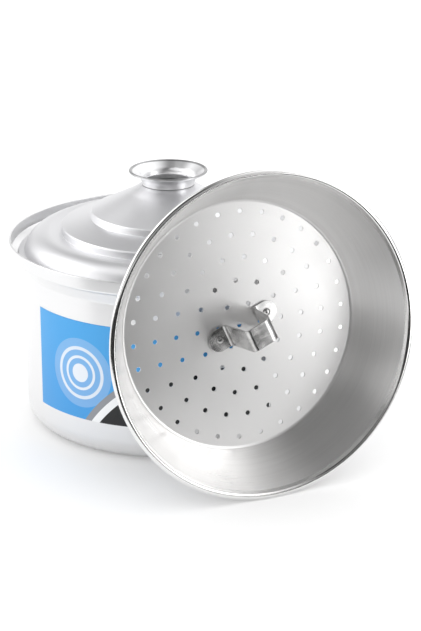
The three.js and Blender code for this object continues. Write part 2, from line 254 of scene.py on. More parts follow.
class LidSizes(bpy.types.PropertyGroup):
    """Sizes and finish of the lid"""

    sheet: length("Sheet", "Thickness of the lid's sheet", 1.4 * MM)
    radius: length("Radius", "Edge of the brim", lid_high.x)
    seat: length("Seat", "Underside of the brim", lid_low.z)
    top: length("Top", "Top of the neck", lid_high.z)
    brim: length("Brim", "Width of the flat brim", 5.6 * MM)
    brim_bend: length("Brim bend", "Inside radius of the bend at the brim", 1.0 * MM)
    shoulder_rise: length("Shoulder rise", "Height of the shoulder's corner", 22.2 * MM)
    shoulder_inset: length("Shoulder inset", "How far the shoulder's corner stands in", 4.3 * MM)
    shoulder_bend: length("Shoulder bend", "Inside radius of the shoulder", 21.0 * MM)
    outer_ring: length("Outer ring", "Width of the crowned outer ring", 36.4 * MM)
    outer_rise: length("Outer rise", "Rise from the brim to the outer riser", 17.6 * MM)
    outer_riser: length("Outer riser", "Height of the outer riser", 7.5 * MM)
    outer_draft: length("Outer draft", "How far the outer riser leans in", 0.5 * MM)
    inner_ring: length("Inner ring", "Width of the ring between the risers", 27.6 * MM)
    inner_rise: length("Inner rise", "Rise of that ring", 7.1 * MM)
    inner_riser: length("Inner riser", "Height of the inner riser", 6.3 * MM)
    inner_draft: length("Inner draft", "How far the inner riser leans in", 1.5 * MM)
    riser_bend: length("Riser bend", "Inside radius of the bends at the risers", 0.8 * MM)
    cone_rise: length("Cone rise", "Height of the cone", 24.9 * MM)
    cone_neck_rise: length("Cone neck rise", "Height of the cone's steep top", 7.1 * MM)
    cone_neck_width: length("Cone neck width", "Width of the cone's steep top", 11.2 * MM)
    cone_bend: length("Cone bend", "Inside radius of the cone's sweep", 40.0 * MM)
    neck: length("Neck", "Outside radius of the neck", 24.2 * MM)
    neck_shoulder: length("Neck shoulder", "Width of the step that the chimney stands on", 2.6 * MM)
    edge: length("Edge", "Rounding of the sheet's edges", 0.49 * MM)
    colour: tint("Colour", "Colour of the metal", 0.80, 0.80, 0.815)
    roughness: share("Roughness", "Roughness of the finish", 0.42)
    stretch: share("Stretch", "How far highlights stretch across the turned lines", 0.4)
    lines: share("Lines", "Depth of the turned lines", 0.06)
    grain: share("Grain", "Depth of the fine grain", 0.04)


class ChimneySizes(bpy.types.PropertyGroup):
    """Sizes and finish of the chimney on the lid"""

    sheet: length("Sheet", "Thickness of the chimney's sheet", 1.0 * MM)
    sleeve: length("Sleeve", "Inside radius of the collar", 24.5 * MM)
    foot: length("Foot", "Foot of the collar", chimney_low.z)
    top: length("Top", "Top of the rolled rim", chimney_high.z)
    rim_radius: length("Rim radius", "Outside of the rolled rim", chimney_high.x)
    collar: length("Collar", "Height of the straight collar", 5.8 * MM)
    bend: length("Bend", "Inside radius of the bend of the flare", 9.0 * MM)
    bead: length("Bead", "Radius of the rolled rim", 1.3 * MM)
    roll_gap: length("Roll gap", "Gap where the rolled rim nearly meets the sheet", 0.2 * MM)
    edge: length("Edge", "Rounding of the sheet's edges", 0.25 * MM)
    # Painted shade: dark lines painted into the chimney's colour at its foot and on its rim, and how bright
    # they are
    foot_shade_line: length("Foot line", "Height of the dull line at the foot", 0.7 * MM)
    rim_shade_line: length("Rim line", "Height of the dull line on the rim", 1.5 * MM)
    shade_tone: share("Line tone", "Brightness of those lines", 0.4)
    colour: tint("Colour", "Colour of the metal", 0.86, 0.86, 0.87)
    roughness: share("Roughness", "Roughness of the finish", 0.28)
    stretch: share("Stretch", "How far highlights stretch across the turned lines", 0.3)
    lines: share("Lines", "Depth of the turned lines", 0.06)
    grain: share("Grain", "Depth of the fine grain", 0.02)


class StrainerSizes(bpy.types.PropertyGroup):
    """Sizes and finish of the strainer"""

    sheet: length("Sheet", "Thickness of the strainer's sheet", 1.2 * MM)
    rim_radius: length("Rim radius", "Outside of the rolled rim", 149.3 * MM)
    depth: length("Depth", "From the bottom to the middle of the rolled rim", 55.5 * MM)
    flare: length("Flare", "How far the wall opens from the bottom to the rim", 30.8 * MM)
    bend: length("Bend", "Inside radius of the corner of the bottom", 4.0 * MM)
    bead: length("Bead", "Radius of the rolled rim", 3.0 * MM)
    roll_gap: length("Roll gap", "Gap where the rolled rim nearly meets the sheet", 0.4 * MM)
    edge: length("Edge", "Rounding of the sheet's edges", 0.36 * MM)
    hole: length("Hole", "Diameter of the holes", 4.4 * MM)
    hole_edge: length("Hole edge", "Rounding of the edges of the holes", 0.3 * MM)
    pitch: length("Pitch", "Step from ring to ring of the holes", 21.0 * MM)
    hole_turn: swivel("Hole turn", "Turn of the rings of holes", 2.7)
    colour: tint("Colour", "Colour of the metal", 0.88, 0.875, 0.87)
    roughness: share("Roughness", "Roughness of the finish", 0.3)
    bottom_roughness: share("Bottom roughness", "Roughness of the finish on the bottom", 0.4)
    rim_roughness: share("Rim roughness", "Roughness of the finish on the rolled rim", 0.17)
    stretch: share("Stretch", "How far highlights stretch across the turned lines", 0.6)
    lines: share("Lines", "Depth of the turned lines", 0.35)
    grain: share("Grain", "Depth of the fine grain", 0.2)


class StrapSizes(bpy.types.PropertyGroup):
    """Sizes and finish of the strap handle and its rivets"""

    width: length("Width", "Width of the strip", 21.6 * MM)
    sheet: length("Sheet", "Thickness of the strip", 1.8 * MM)
    height: length("Height", "Top of the handle above the strainer's bottom", 44.4 * MM)
    base: length("Base", "Distance between the legs at their feet", 30.0 * MM)
    top: length("Top", "Distance between the legs at the top", 24.4 * MM)
    bend: length("Bend", "Inside radius of the tight bends", 3.0 * MM)
    wide_bend: length("Wide bend", "Inside radius of the bend at the right end of the top", 7.0 * MM)
    foot: length("Foot", "From the leg to the rivet", 11.0 * MM)
    gap: length("Gap", "Gap below the feet and the rivet heads", 0.3 * MM)
    edge: length("Edge", "Rounding of the strip's edges", 0.4 * MM)
    turn: swivel("Turn", "Turn of the handle on the strainer's bottom", 22.5)
    along: length("Along", "How far the handle stands off the bottom's middle along the strip", 2.2 * MM)
    across: length("Across", "How far the handle stands off the bottom's middle across the strip", -2.2 * MM)
    rivet: length("Rivet", "Diameter of the rivets", 5.0 * MM)
    rivet_head: length("Rivet head", "Diameter of the rivet heads", 7.4 * MM)
    rivet_rise: length("Rivet rise", "Height of the rivet heads", 2.2 * MM)
    rivet_tail: length("Rivet tail", "Diameter of the rivets' tails", 8.0 * MM)
    rivet_tail_rise: length("Rivet tail rise", "Height of the rivets' tails", 1.2 * MM)
    rivet_edge: length("Rivet edge", "Rounding of the rivets' edges", 0.3 * MM)
    colour: tint("Colour", "Colour of the metal", 0.75, 0.745, 0.74)
    roughness: share("Roughness", "Roughness of the finish", 0.26)
    scuffs: share("Scuffs", "Depth of the soft dents of polishing", 0.8)


class StageLook(bpy.types.PropertyGroup):
    """Floor, light and camera"""

    floor_colour: tint("Floor", "Colour of the floor", 0.93, 0.93, 0.93)
    floor_glow: share("Floor glow", "Light that the floor gives off", 0.1)
    floor_reach: length("Floor reach", "Half of the floor's side", 12.0)
    felt_colour: tint("Felt", "Colour of the dark cards", 0.02, 0.02, 0.02)
    camera_place: place("Camera place", "Where the camera stands", 0.0408, -1.8467, 0.7513)
    camera_pitch: swivel("Camera pitch", "How far the camera looks down", 19.48)


class MandiPotSettings(bpy.types.PropertyGroup):
    """All sizes and finishes of the mandi pot"""

    pot: PointerProperty(name="Pot", description="The pot", type=PotSizes)
    label: PointerProperty(name="Label", description="The label on the pot", type=LabelSizes)
    lid: PointerProperty(name="Lid", description="The lid", type=LidSizes)
    chimney: PointerProperty(name="Chimney", description="The chimney on the lid", type=ChimneySizes)
    strainer: PointerProperty(name="Strainer", description="The strainer", type=StrainerSizes)
    strap: PointerProperty(name="Strap", description="The strap handle", type=StrapSizes)
    stage: PointerProperty(name="Stage", description="Floor, light and camera", type=StageLook)


# Drawing profiles: chains of vertices in the XZ plane, X the radius and Z the height

def run_to(mesh, tip, point):
    """Draws a straight run from the tip of a profile to a point and returns the new tip."""
    end = bmesh.ops.extrude_vert_indiv(mesh, verts=[tip])["verts"][0]
    end.co = point
    return end


def swing(mesh, tip, centre, turn, axis=LEFT_AXIS):
    """Draws an arc from the tip of a chain about a centre, to the left if the turn is positive."""
    steps = math.ceil(abs(turn) / ARC_STEP)
    made = bmesh.ops.spin(mesh, geom=[tip], cent=centre, axis=axis, angle=turn, steps=steps)
    return made["geom_last"][0]


def turn_between(before, after):
    """The signed turn from one heading to the next, positive to the left."""
    return math.atan2(before.x * after.z - before.z * after.x, before.dot(after))


def bent_profile(mesh, corners, sheet):
    """Draws the near face of a bent sheet that lies to the right of the way, and returns the last tip.

    A corner is a radius, a height and the inside radius of the bend there, which is 0 for a sharp corner.
    """
    points = [Vector((radius, 0.0, height)) for radius, height, _ in corners]
    tip = bmesh.ops.create_vert(mesh, co=points[0])["vert"][0]
    for index in range(1, len(points) - 1):
        before = (points[index] - points[index - 1]).normalized()
        after = (points[index + 1] - points[index]).normalized()
        turn = turn_between(before, after)
        bend = corners[index][2]
        if bend == 0.0:
            tip = run_to(mesh, tip, points[index])
            continue
        radius = bend if turn > 0.0 else bend + sheet
        tip = run_to(mesh, tip, points[index] - before * radius * math.tan(abs(turn) / 2.0))
        left = Vector((-before.z, 0.0, before.x))
        tip = swing(mesh, tip, tip.co + left * math.copysign(radius, turn), turn)
    return run_to(mesh, tip, points[-1])


def meet_roll(foot, centre, bead):
    """The point where a straight run from a foot touches a roll on its left side."""
    way = centre - foot
    lean = math.asin(bead / way.length)
    heading = Matrix.Rotation(-lean, 3, "Y") @ way.normalized()
    return foot + heading * way.length * math.cos(lean)


def roll_edge(mesh, tip, centre, bead, sheet, gap):
    """Rolls the edge of a sheet outwards and back until it nearly meets the sheet again."""
    closing = math.acos((bead - sheet) / bead) + gap / bead
    return swing(mesh, tip, centre, closing - FULL_TURN)


def measure_run(mesh, start=0.0):
    """Stores how far along the profile each vertex lies."""
    run = mesh.verts.layers.float.new(RUN_LAYER)
    mesh.verts.ensure_lookup_table()
    vert = mesh.verts[0]
    vert[run] = start
    onward = list(vert.link_edges)
    while onward:
        following = onward[0].other_vert(vert)
        following[run] = vert[run] + onward[0].calc_length()
        onward = [edge for edge in following.link_edges if edge is not onward[0]]
        vert = following


# Shaping what a profile becomes

def weld(mesh):
    """Joins the seams and turns the faces one way."""
    bmesh.ops.remove_doubles(mesh, verts=mesh.verts[:], dist=WELD)
    bmesh.ops.recalc_face_normals(mesh, faces=mesh.faces[:])


def turn_round(mesh, steps):
    """Turns all that is drawn right round the Z axis."""
    geometry = mesh.verts[:] + mesh.edges[:]
    bmesh.ops.spin(
        mesh, geom=geometry, cent=(0.0, 0.0, 0.0), axis=UP, angle=FULL_TURN, steps=steps, use_merge=True
    )
    weld(mesh)


def face_towards(mesh, point, side):
    """Turns the faces so that the one closest to a point looks to a side."""
    closest = min(mesh.faces, key=lambda face: (face.calc_center_median() - point).length)
    if closest.normal.dot(side) < 0.0:
        bmesh.ops.reverse_faces(mesh, faces=mesh.faces[:])


def give_thickness(mesh, sheet):
    """Adds the far face of a sheet behind its near face and closes the edges."""
    bmesh.ops.solidify(mesh, geom=mesh.faces[:], thickness=sheet)
    mesh.normal_update()


def round_edges(mesh, edges, offset):
    """Rounds edges."""
    bmesh.ops.bevel(
        mesh,
        geom=edges,
        offset=offset,
        offset_type="OFFSET",
        affect="EDGES",
        segments=EDGE_SEGMENTS,
        profile=0.5,
        material=-1,
        clamp_overlap=True,
    )
    mesh.normal_update()


def rim_edges(mesh):
    """The edges where a sheet ends or turns sharply."""
    return [edge for edge in mesh.edges if edge.is_manifold and edge.calc_face_angle() > RIM_ANGLE]


def wrap_round(mesh):
    """Adds a UV map whose first axis runs round Z and whose second runs along the profile."""
    uv = mesh.loops.layers.uv.new(ROUND_MAP)
    run = mesh.verts.layers.float[RUN_LAYER]
    for face in mesh.faces:
        centre = face.calc_center_median()
        middle = math.atan2(centre.y, centre.x)
        for loop in face.loops:
            spot = loop.vert.co
            aside = 0.0
            if math.hypot(spot.x, spot.y) > WELD:
                aside = (math.atan2(spot.y, spot.x) - middle + math.pi) % FULL_TURN - math.pi
            loop[uv].uv = ((middle + aside) / FULL_TURN, loop.vert[run])


def spin_sheet(mesh, sheet, edge, spot, side):
    """Turns a profile into a sheet with round edges, whose near face looks to a side at a spot."""
    measure_run(mesh)
    turn_round(mesh, SPIN_STEPS)
    face_towards(mesh, spot, side)
    give_thickness(mesh, sheet)
    round_edges(mesh, rim_edges(mesh), edge)
    wrap_round(mesh)


def finish_piece(mesh, name, material, body, node):
    """Makes an object of a mesh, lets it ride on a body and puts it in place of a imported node."""
    data = bpy.data.meshes.new(name)
    mesh.to_mesh(data)
    mesh.free()
    data.shade_smooth()
    data.set_sharp_from_angle(angle=SHARP_ANGLE)
    data.materials.append(material)
    piece = bpy.data.objects.new(name, data)
    bpy.context.scene.collection.objects.link(piece)
    weighted = piece.modifiers.new("even_shading", "WEIGHTED_NORMAL")
    weighted.keep_sharp = True
    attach(piece, body)
    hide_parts(node)


def strainer_pose(sizes):
    """Where the strainer leans: its own frame in the pot's, from the joint that it tips on."""
    side = Vector(tip_joint["axis"]).normalized()
    outward = side.cross(UP)
    lean = math.radians(tip_joint["range_deg"][1]) - math.pi / 2.0
    open_way = outward * math.cos(lean) + UP * math.sin(lean)
    up_way = UP * math.cos(lean) - outward * math.sin(lean)
    middle = Vector(tip_joint["pos_m"]) + up_way * (sizes.rim_radius - sizes.bead) - open_way * sizes.depth
    pose = Matrix((side, up_way, open_way)).transposed().to_4x4()
    pose.translation = middle
    return pose


def strap_pose(sizes, strap):
    """Where the handle stands on the strainer's bottom."""
    shift = Matrix.Translation((strap.along, strap.across, strap.gap))
    return strainer_pose(sizes) @ Matrix.Rotation(strap.turn, 4, "Z") @ shift


def rivet_reach(strap):
    """From the middle of the handle to a rivet."""
    return strap.base / 2.0 + strap.foot


def rivet_hole(strap):
    """Radius of the holes that the rivets go through."""
    return strap.rivet / 2.0 + strap.gap


def rivet_places(strap):
    """The middles of the two rivets in the strainer's frame, left and right."""
    turn = Matrix.Rotation(strap.turn, 3, "Z")
    reach = rivet_reach(strap)
    return [turn @ Vector((strap.along + side * reach, strap.across, 0.0)) for side in (-1.0, 1.0)]


def draw_circle(mesh, spot, radius):
    """Draws the edge of a hole and returns its edges."""
    made = bmesh.ops.create_circle(
        mesh, cap_ends=False, segments=HOLE_SIDES, radius=radius, matrix=Matrix.Translation(spot)
    )
    return list({edge for vert in made["verts"] for edge in vert.link_edges})


# Materials

def fill_inputs(tree, node, values):
    """Sets the inputs of a node to values, or links them to the outputs of others."""
    for name, value in values.items():
        if isinstance(value, bpy.types.NodeSocket):
            tree.links.new(value, node.inputs[name])
        else:
            node.inputs[name].default_value = value


def add_node(tree, kind, values=None, **settings):
    """Adds a node with its settings and the values or links of its inputs."""
    made = tree.nodes.new(kind)
    for name, value in settings.items():
        setattr(made, name, value)
    fill_inputs(tree, made, values or {})
    return made


def calculate(tree, operation, first, second=0.0):
    """The result of an operation on two values in a node tree."""
    made = add_node(tree, "ShaderNodeMath", {0: first, 1: second}, operation=operation)
    return made.outputs["Value"]


def ramp(tree, value, low, high, to_low, to_high, kind="SMOOTHSTEP"):
    """A value that goes from one level to another as its source passes through a range."""
    made = add_node(
        tree,
        "ShaderNodeMapRange",
        {"Value": value, "From Min": low, "From Max": high, "To Min": to_low, "To Max": to_high},
        interpolation_type=kind,
    )
    return made.outputs["Result"]


def mix_colour(tree, amount, first, second):
    """A mix of two colours."""
    made = add_node(tree, "ShaderNodeMix", {0: amount, 6: first, 7: second}, data_type="RGBA")
    return made.outputs[2]


def noise(tree, vector, scale, detail, roughness=0.5):
    """A seamless noise from 0 to 1."""
    made = add_node(
        tree,
        "ShaderNodeTexNoise",
        {"Vector": vector, "Scale": scale, "Detail": detail, "Roughness": roughness},
    )
    return made.outputs["Fac"]


def bump(tree, strength, depth, height):
    """A bump node of a height from 0 to 1."""
    return add_node(tree, "ShaderNodeBump", {"Strength": strength, "Distance": depth, "Height": height})


def opaque(colour, level=1.0):
    """A node colour from a property, at a level of brightness."""
    return (colour[0] * level, colour[1] * level, colour[2] * level, 1.0)


def new_material(name):
    """A material with a principled shader, its tree and that shader."""
    material = bpy.data.materials.new(name)
    material.use_nodes = True
    tree = material.node_tree
    tree.nodes.clear()
    shader = add_node(tree, "ShaderNodeBsdfPrincipled")
    add_node(tree, "ShaderNodeOutputMaterial", {"Surface": shader.outputs["BSDF"]})
    return material, tree, shader


def local_vector(tree, pose):
    """Object coordinates in a piece's own frame."""
    source = add_node(tree, "ShaderNodeTexCoord")
    turn = pose.to_euler()
    mapping = add_node(
        tree,
        "ShaderNodeMapping",
        {"Vector": source.outputs["Object"], "Location": pose.translation, "Rotation": turn},
        vector_type="TEXTURE",
    )
    return mapping.outputs["Vector"]


def line_vector(tree, pose):
    """Coordinates for turned lines, slow round the axis and a unit to a line, and plain ones in the pose."""
    spot = local_vector(tree, pose)
    flat = add_node(tree, "ShaderNodeVectorMath", {0: spot, 1: (1.0, 1.0, 0.0)}, operation="MULTIPLY")
    heading = add_node(tree, "ShaderNodeVectorMath", {0: flat.outputs[0]}, operation="NORMALIZE")
    slow = add_node(
        tree, "ShaderNodeVectorMath", {0: heading.outputs[0], "Scale": LINE_CHANGE}, operation="SCALE"
    )
    wrapped = add_node(tree, "ShaderNodeUVMap", uv_map=ROUND_MAP)
    parts = add_node(tree, "ShaderNodeSeparateXYZ", {0: wrapped.outputs["UV"]})
    along = calculate(tree, "DIVIDE", parts.outputs["Y"], LINE_SPACING)
    climb = add_node(tree, "ShaderNodeCombineXYZ", {"Z": along})
    total = add_node(tree, "ShaderNodeVectorMath", {0: slow.outputs[0], 1: climb.outputs[0]}, operation="ADD")
    return total.outputs[0], spot


def spun_aluminium(name, finish, pose, dull_bottom=False):
    """Spun aluminium: turned lines round the pose's axis, a fine grain and faint bands of tone.

    With a dull bottom, as on the strainer, the bottom has no lines up to the foot of the wall, and the rolled
    rim is smooth.
    """
    material, tree, shader = new_material(name)
    lines, spot = line_vector(tree, pose)
    fine = noise(tree, lines, *FINE_LINES)
    broad = noise(tree, lines, *BROAD_LINES)
    grain = noise(tree, spot, *GRAIN)
    clouds = noise(tree, spot, *CLOUDS)
    bands = calculate(tree, "ADD", fine, calculate(tree, "MULTIPLY", broad, BROAD_SHARE))
    tone = ramp(tree, bands, *LINE_RANGE, 0.0, 1.0, "LINEAR")
    low_colour = opaque(finish.colour, 1.0 - LINE_TONE * finish.lines)
    base = mix_colour(tree, tone, low_colour, opaque(finish.colour))
    rough_low = finish.roughness * (1.0 - LINE_ROUGHNESS * finish.lines)
    rough_high = finish.roughness * (1.0 + LINE_ROUGHNESS * finish.lines)
    wear = calculate(tree, "ADD", fine, clouds)
    rough = ramp(tree, wear, *ROUGH_RANGE, rough_low, rough_high, "LINEAR")
    grainy = bump(tree, finish.grain, GRAIN_DEPTH, grain)
    turned = bump(tree, finish.lines, LINE_DEPTH, fine)
    tree.links.new(grainy.outputs["Normal"], turned.inputs["Normal"])
    tangent = add_node(tree, "ShaderNodeTangent", direction_type="UV_MAP", uv_map=ROUND_MAP)
    stretch = finish.stretch
    if dull_bottom:
        height = add_node(tree, "ShaderNodeSeparateXYZ", {0: spot}).outputs["Z"]
        on_wall = ramp(tree, height, 0.0, finish.bend, 0.0, 1.0)
        speckled = mix_colour(tree, grain, low_colour, opaque(finish.colour))
        base = mix_colour(tree, on_wall, speckled, base)
        duller = calculate(tree, "MULTIPLY", rough, finish.bottom_roughness / finish.roughness)
        rough = ramp(tree, on_wall, 0.0, 1.0, duller, rough, "LINEAR")
        on_rim = ramp(tree, height, finish.depth - finish.bead, finish.depth, 0.0, 1.0)
        rough = ramp(tree, on_rim, 0.0, 1.0, rough, finish.rim_roughness, "LINEAR")
        brushed = calculate(tree, "SUBTRACT", on_wall, on_rim)
        stretch = calculate(tree, "MULTIPLY", brushed, finish.stretch)
        tree.links.new(calculate(tree, "MULTIPLY", brushed, finish.lines), turned.inputs["Strength"])
    look = {
        "Base Color": base,
        "Metallic": 1.0,
        "Roughness": rough,
        "Normal": turned.outputs["Normal"],
        "Anisotropic": stretch,
        "Anisotropic Rotation": ACROSS_LINES,
        "Tangent": tangent.outputs["Tangent"],
    }
    fill_inputs(tree, shader, look)
    return material


def paint_shade_lines(material, chimney):
    """Paints shade into the metal's colour: a dark line at the chimney's foot, where it meets the lid, and
    one on its rim.
    """
    tree = material.node_tree
    shader = tree.nodes["Principled BSDF"]
    colour = shader.inputs["Base Color"].links[0].from_socket
    spot = local_vector(tree, Matrix.Identity(4))
    height = add_node(tree, "ShaderNodeSeparateXYZ", {0: spot}).outputs["Z"]
    foot_end = chimney.foot + chimney.foot_shade_line
    rim_start = chimney.top - chimney.rim_shade_line
    # Painted shade: the colour darkens towards the foot and towards the top of the rolled rim
    at_foot = ramp(tree, height, (chimney.foot + foot_end) / 2.0, foot_end, chimney.shade_tone, 1.0)
    at_rim = ramp(tree, height, rim_start, (rim_start + chimney.top) / 2.0, 1.0, chimney.shade_tone)
    level = calculate(tree, "MINIMUM", at_foot, at_rim)
    shaded = add_node(tree, "ShaderNodeVectorMath", {0: colour, "Scale": level}, operation="SCALE")
    tree.links.new(shaded.outputs[0], shader.inputs["Base Color"])


def polished_aluminium(name, strap, pose):
    """Polished strip: soft dents of the buffing wheel and streaks along the strip."""
    material, tree, shader = new_material(name)
    spot = local_vector(tree, pose)
    dents = noise(tree, spot, *DENTS)
    drawn_out = add_node(tree, "ShaderNodeVectorMath", {0: spot, 1: STREAK_SCALE}, operation="MULTIPLY")
    streaks = noise(tree, drawn_out.outputs[0], *STREAKS)
    tone = ramp(tree, streaks, *STREAK_RANGE, 0.0, 1.0)
    base = mix_colour(tree, tone, opaque(strap.colour, STREAK_TONE), opaque(strap.colour))
    rough = ramp(tree, streaks, *STREAK_RANGE, strap.roughness * STREAK_GLOSS, strap.roughness)
    dented = bump(tree, strap.scuffs, DENT_DEPTH, dents)
    look = {"Base Color": base, "Metallic": 1.0, "Roughness": rough, "Normal": dented.outputs["Normal"]}
    fill_inputs(tree, shader, look)
    return material


def label_print(name, label):
    """Gloss print: a blue field with pale ripple rings, and a dark corner behind a white and a grey arc."""
    material, tree, shader = new_material(name)
    height = label_high.z - label_low.z
    wrapped = add_node(tree, "ShaderNodeUVMap", uv_map=SHEET_MAP)
    spot = add_node(
        tree,
        "ShaderNodeVectorMath",
        {0: wrapped.outputs["UV"], 1: (label.width, height, 0.0)},
        operation="MULTIPLY",
    ).outputs[0]

    def distance_from(middle):
        centre = (middle[0] * MM, middle[1] * MM, 0.0)
        made = add_node(tree, "ShaderNodeVectorMath", {0: spot, 1: centre}, operation="DISTANCE")
        return made.outputs["Value"]

    parts = add_node(tree, "ShaderNodeSeparateXYZ", {0: spot})
    fall = ramp(tree, parts.outputs["Y"], 0.0, height, 0.0, 1.0, "LINEAR")
    colour = mix_colour(tree, fall, opaque(label.field_low), opaque(label.field))
    pale = opaque(label.paper)
    ripple = distance_from(RIPPLE_MIDDLE)
    edge = PRINT_EDGE * MM
    for reach, width, strength in RIPPLES:
        outer = ramp(tree, ripple, reach * MM, reach * MM + edge, strength, 0.0)
        inner = ramp(tree, ripple, (reach - width) * MM - edge, (reach - width) * MM, 0.0, 1.0)
        colour = mix_colour(tree, calculate(tree, "MULTIPLY", outer, inner), colour, pale)
    arc = distance_from(ARC_MIDDLE)
    for reach, band in zip(ARC_REACHES, (label.grey, label.paper, label.ink)):
        inside = ramp(tree, arc, reach * MM - edge, reach * MM, 1.0, 0.0)
        colour = mix_colour(tree, inside, colour, opaque(band))
    mottle = noise(tree, spot, *MOTTLE)
    rough = ramp(tree, mottle, *MOTTLE_RANGE, *PRINT_ROUGHNESS, "LINEAR")
    uneven = bump(tree, MOTTLE_BUMP, MOTTLE_DEPTH, mottle)
    look = {"Base Color": colour, "Roughness": rough, "Normal": uneven.outputs["Normal"]}
    fill_inputs(tree, shader, look)
    return material


def matt_stuff(name, colour, glow=0.0):
    """Matt paper or felt with a trace of tooth, which may be lit from below."""
    material, tree, shader = new_material(name)
    source = add_node(tree, "ShaderNodeTexCoord")
    tooth = noise(tree, source.outputs["Object"], *TOOTH)
    base = mix_colour(tree, tooth, opaque(colour, TOOTH_TONE), opaque(colour))
    look = {
        "Base Color": base,
        "Roughness": MATT_ROUGHNESS,
        "Specular IOR Level": 0.0,
        "Emission Color": base,
        "Emission Strength": glow,
    }
    fill_inputs(tree, shader, look)
    return material


# The stage

def compass(azimuth, elevation):
    """A direction by its degrees from the back towards the right, and up."""
    level = math.cos(math.radians(elevation))
    east = math.sin(math.radians(azimuth)) * level
    north = math.cos(math.radians(azimuth)) * level
    return Vector((east, north, math.sin(math.radians(elevation))))


class BuildStage(bpy.types.Operator):
    """Sets the floor, the studio light and the camera at the photograph's angle"""

    bl_idname = "mandi_pot.stage"
    bl_label = "Stage"

    def execute(self, context):
        stage = context.scene.mandi_pot.stage
        self.make_floor(context, stage)
        self.make_cards(context, stage)
        self.make_world(context)
        self.make_lights(context)
        self.make_camera(context, stage)
        return {"FINISHED"}

    def make_floor(self, context, stage):
        """A wide pale floor."""
        mesh = bmesh.new()
        bmesh.ops.create_grid(mesh, x_segments=1, y_segments=1, size=stage.floor_reach)
        paper = matt_stuff("studio_paper", stage.floor_colour, stage.floor_glow)
        self.set_on_stage(context, mesh, "studio_floor", paper)

    def make_cards(self, context, stage):
        """Dark cards that stand and lie round the front and show in the metal only."""
        felt = matt_stuff("studio_felt", stage.felt_colour)
        for name, radius, height, end_radius, end_height, azimuth, spread in DARK_CARDS:
            mesh = bmesh.new()
            side = compass(azimuth + spread / 2.0, 0.0)
            edge = bmesh.ops.create_vert(mesh, co=side * radius + UP * height)["vert"][0]
            run_to(mesh, edge, side * end_radius + UP * end_height)
            drawn = mesh.verts[:] + mesh.edges[:]
            bmesh.ops.spin(
                mesh, geom=drawn, cent=(0.0, 0.0, 0.0), axis=UP, angle=math.radians(spread), steps=CARD_STEPS
            )
            card = self.set_on_stage(context, mesh, name, felt)
            card.visible_camera = False
            card.visible_diffuse = False
            card.visible_shadow = False

    def set_on_stage(self, context, mesh, name, material):
        """Makes an object of a mesh that belongs to the stage."""
        data = bpy.data.meshes.new(name)
        mesh.to_mesh(data)
        mesh.free()
        data.materials.append(material)
        thing = bpy.data.objects.new(name, data)
        context.scene.collection.objects.link(thing)
        return thing

    def make_world(self, context):
        """White light from all round, in place of which the metal reflects rings of soft lamps."""
        world = bpy.data.worlds.new("studio")
        context.scene.world = world
        world.use_nodes = True
        tree = world.node_tree
        tree.nodes.clear()
        source = add_node(tree, "ShaderNodeTexCoord")
        near = math.cos(LAMP_FULL)
        far = math.cos(LAMP_END)
        level = 0.0
        for elevation, lamps in LAMP_RINGS:
            for number, brightness in enumerate(lamps):
                if brightness == 0.0:
                    continue
                heading = compass(FRONT_AZIMUTH + 360.0 * number / len(lamps), elevation)
                facing = add_node(
                    tree,
                    "ShaderNodeVectorMath",
                    {0: source.outputs["Generated"], 1: heading},
                    operation="DOT_PRODUCT",
                )
                amount = ramp(tree, facing.outputs["Value"], far, near, 0.0, brightness)
                level = calculate(tree, "ADD", level, amount)
        ray = add_node(tree, "ShaderNodeLightPath")
        seen = ramp(tree, ray.outputs["Is Glossy Ray"], 0.0, 1.0, STUDIO_WHITE, level, "LINEAR")
        light = add_node(tree, "ShaderNodeBackground", {"Color": seen, "Strength": 1.0})
        add_node(tree, "ShaderNodeOutputWorld", {"Surface": light.outputs["Background"]})

    def make_lights(self, context):
        """Soft boxes round the object, which only shine on metal."""
        for name, spot, aim, width, height, power in SOFT_BOXES:
            data = bpy.data.lights.new(name, "AREA")
            data.shape = "RECTANGLE"
            data.size = width
            data.size_y = height
            data.energy = power
            light = bpy.data.objects.new(name, data)
            light.location = spot
            light.rotation_euler = (Vector(aim) - Vector(spot)).to_track_quat("-Z", "Y").to_euler()
            light.visible_camera = False
            light.visible_diffuse = False
            context.scene.collection.objects.link(light)

    def make_camera(self, context, stage):
        """The camera of the photograph."""
        data = bpy.data.cameras.new("photo_camera")
        data.sensor_width = SENSOR
        data.lens = FOCAL_PIXELS * SENSOR / PHOTO_HEIGHT
        camera = bpy.data.objects.new("photo_camera", data)
        camera.location = stage.camera_place
        camera.rotation_euler = (math.pi / 2.0 - stage.camera_pitch, 0.0, 0.0)
        context.scene.collection.objects.link(camera)
        context.scene.camera = camera
        context.scene.view_settings.view_transform = "Standard"


# Pieces

class BuildPotShell(bpy.types.Operator):
    """Models the spun pot, one sheet from its flat base to its swaged mouth"""

    bl_idname = "mandi_pot.pot_shell"
    bl_label = "Pot shell"

    def execute(self, context):
        pot = context.scene.mandi_pot.pot
        inside = pot.radius - pot.sheet
        ledge = inside + pot.swage_step
        ledge_height = pot.swage_height + pot.swage_rise
        collar = ledge + pot.ledge_width
        mesh = bmesh.new()
        corners = (
            (0.0, pot.sheet, 0.0),
            (inside, pot.sheet, pot.base_corner),
            (inside, pot.swage_height, pot.swage_bend),
            (ledge, ledge_height, pot.ledge_bend),
            (collar, ledge_height + pot.ledge_rise, pot.seat_bend),
            (collar, pot.rim_height, 0.0),
        )
        bent_profile(mesh, corners, pot.sheet)
        spin_sheet(mesh, pot.sheet, pot.edge, Vector((inside / 2.0, 0.0, pot.sheet)), UP)
        material = spun_aluminium("pot_satin", pot, Matrix.Identity(4))
        finish_piece(mesh, "pot_shell", material, "pot", "pot_body")
        return {"FINISHED"}


